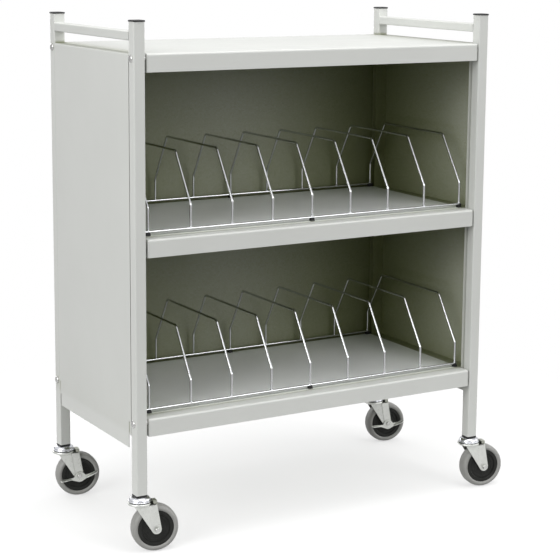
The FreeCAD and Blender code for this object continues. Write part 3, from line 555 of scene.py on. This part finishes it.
def add_axle(corner):
    """The axle's round head, with a ring pressed into it, and its threaded end."""
    seat = LEVER_HIGH if corner in BRAKED else LEG_OUTSIDE
    face = seat + 2.6
    profile = [(0, face + 0.2), (1.5, face + 0.1), (1.9, face - 1.1), (3.3, face - 1.1),
               (3.7, face), (5.2, face - 0.3), (6.0, face - 1.2), (6.2, seat), (4.75, seat),
               (4.75, -27.0), (4.3, -28.5), (0, -28.5)]
    work = bmesh.new()
    lathe(work, profile, 40, closed=False)
    add_piece(f"axle_form_{corner}", work, "fastener_steel", f"swivel_{corner}",
              f"axle_bolt_{corner}", place=wheel_place(corner))


def add_brake(corner):
    """A see-saw lever: rounded plate on the axle, two thin arms with flared treads."""
    work = bmesh.new()
    lower = [(-45.5, -0.6), (-24, -3.8), (-3, -14.6), (3, -14.6), (24, -6.6), (41.8, 0.2)]
    upper = [(42.0, 1.7), (26, -1.2), (14, -2.0), (10.4, 4.2), (5.0, 8.4), (-4.0, 8.4),
             (-9.6, 4.0), (-13, -1.6), (-24, -0.8), (-45.5, 1.1)]
    prism(work, softened(lower + upper, 1.6, 3), LEVER_LOW, LEVER_HIGH, 0.35)
    for tip, root in (((-46.0, -0.5), (-20, -4.6)), ((42.2, 0.3), (16, -9.2))):
        tread = bmesh.new()
        add_tread(tread, Vector(tip), Vector(root), LEVER_HIGH)
        join(work, tread)
    turned_over = Matrix.Rotation(math.pi, 4, "X")
    tilt = Matrix.Rotation(BRAKE_TILTS[corner], 4, "Z")
    add_piece(f"brake_form_{corner}", work, "zinc_plate", f"brake_{corner}",
              f"brake_lever_{corner}", place=wheel_place(corner) @ turned_over @ tilt)


def add_tread(work, tip, root, level):
    """A thin tread along an arm's lower edge, wide at its tip and running out at its root."""
    along = (root - tip).normalized()
    across = Vector((-along.y, along.x)) * (1 if along.x > 0 else -1)
    wide, narrow, thick, sunk, slant = 10.5, 3.0, 1.7, 0.8, 0.4
    lift = across * thick
    rings = []
    for share, reach in ((0.0, wide * 0.86), (0.12, wide), (0.5, wide * 0.8), (1.0, narrow)):
        low = tip.lerp(root, share)
        high = (low.x + lift.x, low.y + lift.y)
        section = [(*low, level - sunk), (*low, level + reach),
                   (*high, level + reach - slant), (*high, level - sunk)]
        rings.append([work.verts.new(corner) for corner in section])
    work.faces.new(rings[0])
    work.faces.new(list(reversed(rings[-1])))
    for first, second in zip(rings, rings[1:]):
        for number in range(len(first)):
            following = (number + 1) % len(first)
            work.faces.new((first[number], second[number], second[following], first[following]))
    bmesh.ops.recalc_face_normals(work, faces=work.faces)
    round_edges(work, sharp_edges(work, 50), 0.4)


def add_strap(corner):
    """The brake's upright strap, from the crown down over the fork's leg to the axle."""
    work = bmesh.new()
    clear, thick = 0.05, 1.3
    strap = [(13.5, 105.4), (30.6, 105.4), (40.0, 53.0), (38.6, 46.2), (33.5, 41.8),
             (27.5, 42.4), (23.6, 47.0), (22.6, 54.0)]
    prism(work, softened(strap, 2.4), LEG_OUTSIDE + clear, LEG_OUTSIDE + clear + thick, 0.4)
    add_piece(f"brake_strap_{corner}", work, "zinc_plate", f"swivel_{corner}",
              place=caster_place(corner) @ STAND)


# ---------------------------------------------------------------- frame details

RAIL_RADIUS = 2.5


def add_caps():
    """Black moulded end caps, slightly crowned."""
    work = bmesh.new()
    rings = [(26.4, -1.1), (27.4, -1.0), (27.8, -0.5), (27.7, 1.2), (26.4, 2.1), (21.0, 2.5),
             (12.0, 2.6)]
    corner_share = 3.4 / 27.4
    for corner in CORNERS:
        centre = middle_of(f"post_{corner}")
        top = in_mm(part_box(f"post_{corner}")[1]).z
        loops = []
        for side, lift in rings:
            half = side / 2
            square = [(-half, -half), (half, -half), (half, half), (-half, half)]
            loops.append([work.verts.new((centre.x + p.x, centre.y + p.y, top + lift))
                          for p in softened(square, side * corner_share, 5)])
        for low, high in zip(loops, loops[1:]):
            bridge(work, low, high)
        work.faces.new(loops[-1])
        work.faces.new(list(reversed(loops[0])))
    add_piece("cap_forms", work, "black_plastic", "frame", "post_caps")


def add_welds():
    """Uneven weld beads round both ends of each handle rail."""
    rng = random.Random(7)
    pitch, sunk, inset = 1.6, 0.985, 0.25
    bead, wave, wave_step, rough = 0.95, 0.22, 1.9, 0.12
    for side in SIDES:
        low, high = (in_mm(c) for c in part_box(f"handle_{side}"))
        work = bmesh.new()
        centre = (low + high) / 2
        wide, tall = (high.x - low.x) / 2, (high.z - low.z) / 2
        shape = softened([(-wide, -tall), (wide, -tall), (wide, tall), (-wide, tall)], 2.5, 5)
        loop = []
        for first, second in zip(shape, shape[1:] + shape[:1]):
            pieces = max(1, round((second - first).length / pitch))
            loop += [first.lerp(second, step / pieces) * sunk for step in range(pieces)]
        for y in (low.y + inset, high.y - inset):
            path = [Vector((centre.x + p.x, y, centre.z + p.y)) for p in loop]
            radii = [bead + wave * math.sin(number * wave_step) + rng.uniform(-rough, rough)
                     for number in range(len(path))]
            sweep(work, path, radii, 10)
        add_piece(f"handle_welds_{side}", work, "frame_paint", "frame")


def add_panel_skin(side):
    """The side panel folded from one sheet, its top bend large and soft."""
    low, high = (in_mm(c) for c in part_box(f"side_panel_{side}"))
    sheet, bend, wide, flange = 1.2, 4.0, 38.0, 31.4
    step_in, flange_low = 10.6, 280.0      # the sheet's lower part is narrower, between the posts
    chamfer, fold_gap = 0.4, 0.3
    inward = 1 if side == "left" else -1
    outer = low.x if side == "left" else high.x
    top = high.z
    work = bmesh.new()

    def wall(y0, y1, section):
        near, far = [[work.verts.new((outer + inward * x, y, z)) for x, z in section]
                     for y in (y0, y1)]
        bridge(work, near, far)
        work.faces.new(near)
        work.faces.new(list(reversed(far)))

    def arc(radius, angles):
        return [(bend - radius * math.cos(t), top - bend + radius * math.sin(t)) for t in angles]

    steps = 8
    turns = [math.pi / 2 * number / steps for number in range(steps + 1)]
    nose = [(wide - chamfer, top), (wide, top - chamfer), (wide, top - sheet)]
    wall(low.y, high.y, [(0, flange_low), *arc(bend, turns), *nose,
                         *arc(bend - sheet, reversed(turns)), (sheet, flange_low)])
    wall(low.y + step_in, high.y - step_in,
         [(0, low.z + chamfer), (0, flange_low), (sheet, flange_low), (sheet, low.z + chamfer),
          (sheet / 2, low.z)])
    for y in (low.y, high.y - sheet):
        wall(y, y + sheet, [(fold_gap, flange_low), (flange - fold_gap, flange_low),
                            (flange, flange_low + fold_gap), (flange, top - bend),
                            (fold_gap, top - bend)])
    add_piece(f"side_panel_skin_{side}", work, "frame_paint", "frame", f"side_panel_{side}")


def add_back_panel():
    """The back sheet with softly broken edges, reaching close to the posts."""
    low, high = (in_mm(c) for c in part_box("back_panel"))
    work = bmesh.new()
    reach = 1.4
    outline = [(low.x - reach, low.z), (high.x + reach, low.z), (high.x + reach, high.z),
               (low.x - reach, high.z)]
    prism(work, softened(outline, 2.0), -high.y, -low.y, 0.3)
    add_piece("back_panel_skin", work, "frame_paint", "frame", "back_panel", place=STAND)


def add_hoop_welds(shelf):
    """Small nuggets where each divider wire stands on its rails."""
    rng = random.Random(11)
    rails_low, rails_high = (in_mm(c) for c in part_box(f"divider_rails_{shelf}"))
    hoops_low, hoops_high = (in_mm(c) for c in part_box(f"divider_hoops_{shelf}"))
    count, nugget_size, flat, lump, lift = 9, 3.35, 0.72, 0.03, 0.2
    span = hoops_high.x - hoops_low.x - 2 * RAIL_RADIUS
    work = bmesh.new()
    for number in range(count):
        x = hoops_low.x + RAIL_RADIUS + span * number / (count - 1)
        for y in (rails_low.y + RAIL_RADIUS, rails_high.y - RAIL_RADIUS):
            size = nugget_size + rng.uniform(-0.15, 0.25)
            nugget = bmesh.new()
            bmesh.ops.create_icosphere(nugget, subdivisions=2, radius=size)
            for corner in nugget.verts:
                corner.co.z *= flat
                corner.co *= 1 + rng.uniform(-lump, lump)
            nugget.transform(Matrix.Translation((x, y, rails_high.z + lift)))
            join(work, nugget)
    add_piece(f"hoop_welds_{shelf}", work, "wire_chrome", "frame")


def add_rail_feet(shelf):
    """Small moulded saddles that carry the rails above the tray."""
    low, high = (in_mm(c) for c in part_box(f"rail_feet_{shelf}"))
    rails_low, rails_high = (in_mm(c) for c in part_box(f"divider_rails_{shelf}"))
    work = bmesh.new()
    half, half_width, inset = 5.5, 3.9, 8
    shoulder, top = low.z + 3.2, high.z + 0.2
    shape = [(-half, low.z), (half, low.z), (half - 0.8, shoulder), (half - 2.4, top),
             (2.4 - half, top), (0.8 - half, shoulder)]
    for x in (low.x + inset, (low.x + high.x) / 2, high.x - inset):
        for y in (rails_low.y + RAIL_RADIUS, rails_high.y - RAIL_RADIUS):
            part = bmesh.new()
            prism(part, softened(shape, 0.9, 3), -half_width, half_width, 0.7)
            part.transform(Matrix.Translation((x, y, 0)) @ STAND)
            join(work, part)
    add_piece(f"rail_foot_forms_{shelf}", work, "black_plastic", "frame", f"rail_feet_{shelf}")


def add_painted_screw_slot_shade():
    """Small black crosses on the heads of the back panel's screws: painted shade for their cross
    recesses.
    """
    low, high = (in_mm(c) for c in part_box("back_screws"))
    work = bmesh.new()
    columns, rows, radius, arm, reach = 4, 3, 4, 0.45, 1.9
    cross = [(-arm, -reach), (arm, -reach), (arm, -arm), (reach, -arm), (reach, arm), (arm, arm),
             (arm, reach), (-arm, reach), (-arm, arm), (-reach, arm), (-reach, -arm), (-arm, -arm)]
    for column in range(columns):
        for row in range(rows):
            x = low.x + radius + (high.x - low.x - 2 * radius) * column / (columns - 1)
            z = low.z + radius + (high.z - low.z - 2 * radius) * row / (rows - 1)
            part = bmesh.new()
            prism(part, cross, -0.3, 0.06)
            turn = Matrix.Rotation(0.5 * column + 1.3 * row, 4, "Z")    # each its own way
            face = Matrix(((-1, 0, 0, x), (0, 0, 1, high.y), (0, 1, 0, z), (0, 0, 0, 1)))
            part.transform(face @ turn)
            join(work, part)
    # The black crosses are painted shade for the screws' cross recesses.
    add_piece("screw_recess_painted_shade", work, "black_plastic", "frame")


def add_deck_joint_painted_shades():
    """A thin dark grey strip, painted shade for the fine joint line where each side panel's top
    flange ends in the deck.
    """
    from_edge, half, end_gap, deep, proud = 38.2, 0.55, 0.6, 0.5, 0.05
    for side in SIDES:
        low, high = (in_mm(c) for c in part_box(f"side_panel_{side}"))
        edge = low.x + from_edge if side == "left" else high.x - from_edge
        front, back = low.y + end_gap, high.y - end_gap
        work = bmesh.new()
        prism(work, [(edge - half, front), (edge + half, front), (edge + half, back),
                     (edge - half, back)], high.z - deep, high.z + proud)
        add_piece(f"deck_joint_painted_shade_{side}", work, "frame_paint", "frame", finish="joint_painted_shade")


add_bells()
add_caps()
add_welds()
add_painted_screw_slot_shade()
add_deck_joint_painted_shades()
add_back_panel()
for side in SIDES:
    add_panel_skin(side)
for shelf in SHELVES:
    add_hoop_welds(shelf)
    add_rail_feet(shelf)
for corner in CORNERS:
    add_fork(corner)
    add_stop(corner)
    add_tyre(corner)
    add_hub(corner)
    add_axle(corner)
for corner in BRAKED:
    add_brake(corner)
    add_strap(corner)


# ---------------------------------------------------------------- studio

# Greys by height, from straight down (0) over the horizon (0.5) to straight up (1): the light
# of the sky, and what shiny metal mirrors.
SKY = ((0.0, 0.14), (0.5, 0.08), (0.6, 0.16), (0.72, 0.75), (1.0, 0.95))
GLINT = ((0.0, 0.75), (0.44, 0.66), (0.5, 0.42), (0.56, 0.52), (0.66, 0.95), (1.0, 1.0))
# Name, place, the height above the origin that it is aimed at, size and power.
LAMPS = (
    ("key_lamp", (-3.6, -1.2, 1.9), 0.7, 2.4, 98),
    ("front_lamp", (1.5, -3.4, 2.2), 0.6, 2.0, 46),
    ("right_lamp", (3.4, -1.2, 1.2), 0.5, 1.6, 27),
    ("back_lamp", (-0.2, 3.7, 1.2), 0.5, 1.2, 22),
    ("top_lamp", (0.2, -0.35, 3.5), 0.8, 1.6, 40),
)
FLOOR_RADIUS, FLOOR_DROP = 6.0, 0.0005
FADE_START, FADE_END, FADE_LEAST = 0.6, 1.4, 0.58    # the floor is clear beyond FADE_END
IMAGE_WIDTH, SENSOR_WIDTH = 560, 36
FOCAL, MIDDLE_Y = 1630.147, 224                      # in pixels
CAMERA_PLACE = (-1883.896, -3183.808, 1271.431)      # in mm
CAMERA_TURNS = (30.573, 9.762, 0.465)                # yaw, pitch and roll, in degrees


def blend_shaders(tree, factor, first, second):
    """A Mix Shader between two shaders' outputs."""
    node = tree.nodes.new("ShaderNodeMixShader")
    tree.links.new(factor, node.inputs["Fac"])
    tree.links.new(first, node.inputs[1])
    tree.links.new(second, node.inputs[2])
    return node.outputs["Shader"]


def add_floor():
    """A pale floor that is partly clear and fades out round the object."""
    mesh = bpy.data.meshes.new("floor")
    work = bmesh.new()
    bmesh.ops.create_circle(work, cap_ends=True, segments=96, radius=FLOOR_RADIUS)
    work.to_mesh(mesh)
    work.free()
    floor = bpy.data.objects.new("studio_floor", mesh)
    floor.location.z = -FLOOR_DROP
    bpy.context.scene.collection.objects.link(floor)
    material, tree, shader = new_material("studio_floor_finish")
    shader.inputs["Roughness"].default_value = 0.9
    shader.inputs["Specular IOR Level"].default_value = 0.05
    tone = ramp(tree, noise(tree, 0.7), [0.93] * 3, [0.95] * 3)
    tree.links.new(tone, shader.inputs["Base Color"])
    reach = tree.nodes.new("ShaderNodeVectorMath")
    reach.operation = "LENGTH"
    tree.links.new(coordinates(tree), reach.inputs[0])
    fade = tree.nodes.new("ShaderNodeMapRange")
    fade.interpolation_type = "SMOOTHSTEP"
    fade.inputs["From Min"].default_value = FADE_START
    fade.inputs["From Max"].default_value = FADE_END
    fade.inputs["To Min"].default_value = FADE_LEAST
    tree.links.new(reach.outputs["Value"], fade.inputs["Value"])
    clear = tree.nodes.new("ShaderNodeBsdfTransparent")
    mixed = blend_shaders(tree, fade.outputs["Result"], shader.outputs["BSDF"],
                          clear.outputs["BSDF"])
    tree.links.new(mixed, tree.nodes["Material Output"].inputs["Surface"])
    mesh.materials.append(material)


def grey_bands(tree, source, bands):
    """Greys by a value, through the given (position, tone) pairs."""
    node = tree.nodes.new("ShaderNodeValToRGB")
    stops = node.color_ramp.elements
    for stop, (position, tone) in zip(stops, (bands[0], bands[-1])):
        stop.position, stop.color = position, (tone, tone, tone, 1)
    for position, tone in bands[1:-1]:
        stops.new(position).color = (tone, tone, tone, 1)
    tree.links.new(source, node.inputs["Fac"])
    return node.outputs["Color"]


def add_world():
    """A soft sky for light, greys for shiny metal to mirror, and white behind the object."""
    world = bpy.data.worlds.new("studio")
    bpy.context.scene.world = world
    world.use_nodes = True
    tree = world.node_tree
    place = tree.nodes.new("ShaderNodeTexCoord")
    split = tree.nodes.new("ShaderNodeSeparateXYZ")
    tree.links.new(place.outputs["Generated"], split.inputs["Vector"])
    height = tree.nodes.new("ShaderNodeMapRange")
    height.inputs["From Min"].default_value = -1.0
    tree.links.new(split.outputs["Z"], height.inputs["Value"])
    sky = tree.nodes["Background"]
    glint = tree.nodes.new("ShaderNodeBackground")
    for background, bands in ((sky, SKY), (glint, GLINT)):
        greys = grey_bands(tree, height.outputs["Result"], bands)
        tree.links.new(greys, background.inputs["Color"])
    white = tree.nodes.new("ShaderNodeBackground")
    white.inputs["Color"].default_value = (*WHITE, 1)
    rays = tree.nodes.new("ShaderNodeLightPath")
    seen = sky.outputs["Background"]
    for ray, background in (("Is Glossy Ray", glint), ("Is Camera Ray", white)):
        seen = blend_shaders(tree, rays.outputs[ray], seen, background.outputs["Background"])
    tree.links.new(seen, tree.nodes["World Output"].inputs["Surface"])


def add_lamp(name, place, aim, size, power):
    """A square soft lamp aimed at a point above the origin."""
    data = bpy.data.lights.new(name, "AREA")
    data.size = size
    data.energy = power
    lamp = bpy.data.objects.new(name, data)
    lamp.location = place
    lamp.rotation_mode = "QUATERNION"
    lamp.rotation_quaternion = (Vector((0, 0, aim)) - Vector(place)).to_track_quat("-Z", "Y")
    bpy.context.scene.collection.objects.link(lamp)


def add_camera():
    """A camera at the photograph's angle."""
    yaw, pitch, roll = (math.radians(a) for a in CAMERA_TURNS)
    forward = Vector((math.sin(yaw) * math.cos(pitch), math.cos(yaw) * math.cos(pitch),
                      -math.sin(pitch)))
    right = Vector((math.cos(yaw), -math.sin(yaw), 0))
    up = right.cross(forward)
    across = right * math.cos(roll) + up * math.sin(roll)
    upright = up * math.cos(roll) - right * math.sin(roll)
    data = bpy.data.cameras.new("camera")
    data.sensor_width = SENSOR_WIDTH
    data.lens = FOCAL / IMAGE_WIDTH * SENSOR_WIDTH
    data.shift_y = (MIDDLE_Y - IMAGE_WIDTH / 2) / IMAGE_WIDTH
    camera = bpy.data.objects.new("camera", data)
    turn = Matrix((across, upright, -forward)).transposed().to_4x4()
    camera.matrix_world = Matrix.Translation(Vector(CAMERA_PLACE) * MM) @ turn
    bpy.context.scene.collection.objects.link(camera)
    bpy.context.scene.camera = camera


add_floor()
add_world()
for lamp in LAMPS:
    add_lamp(*lamp)
add_camera()
bpy.context.scene.view_settings.view_transform = "Standard"
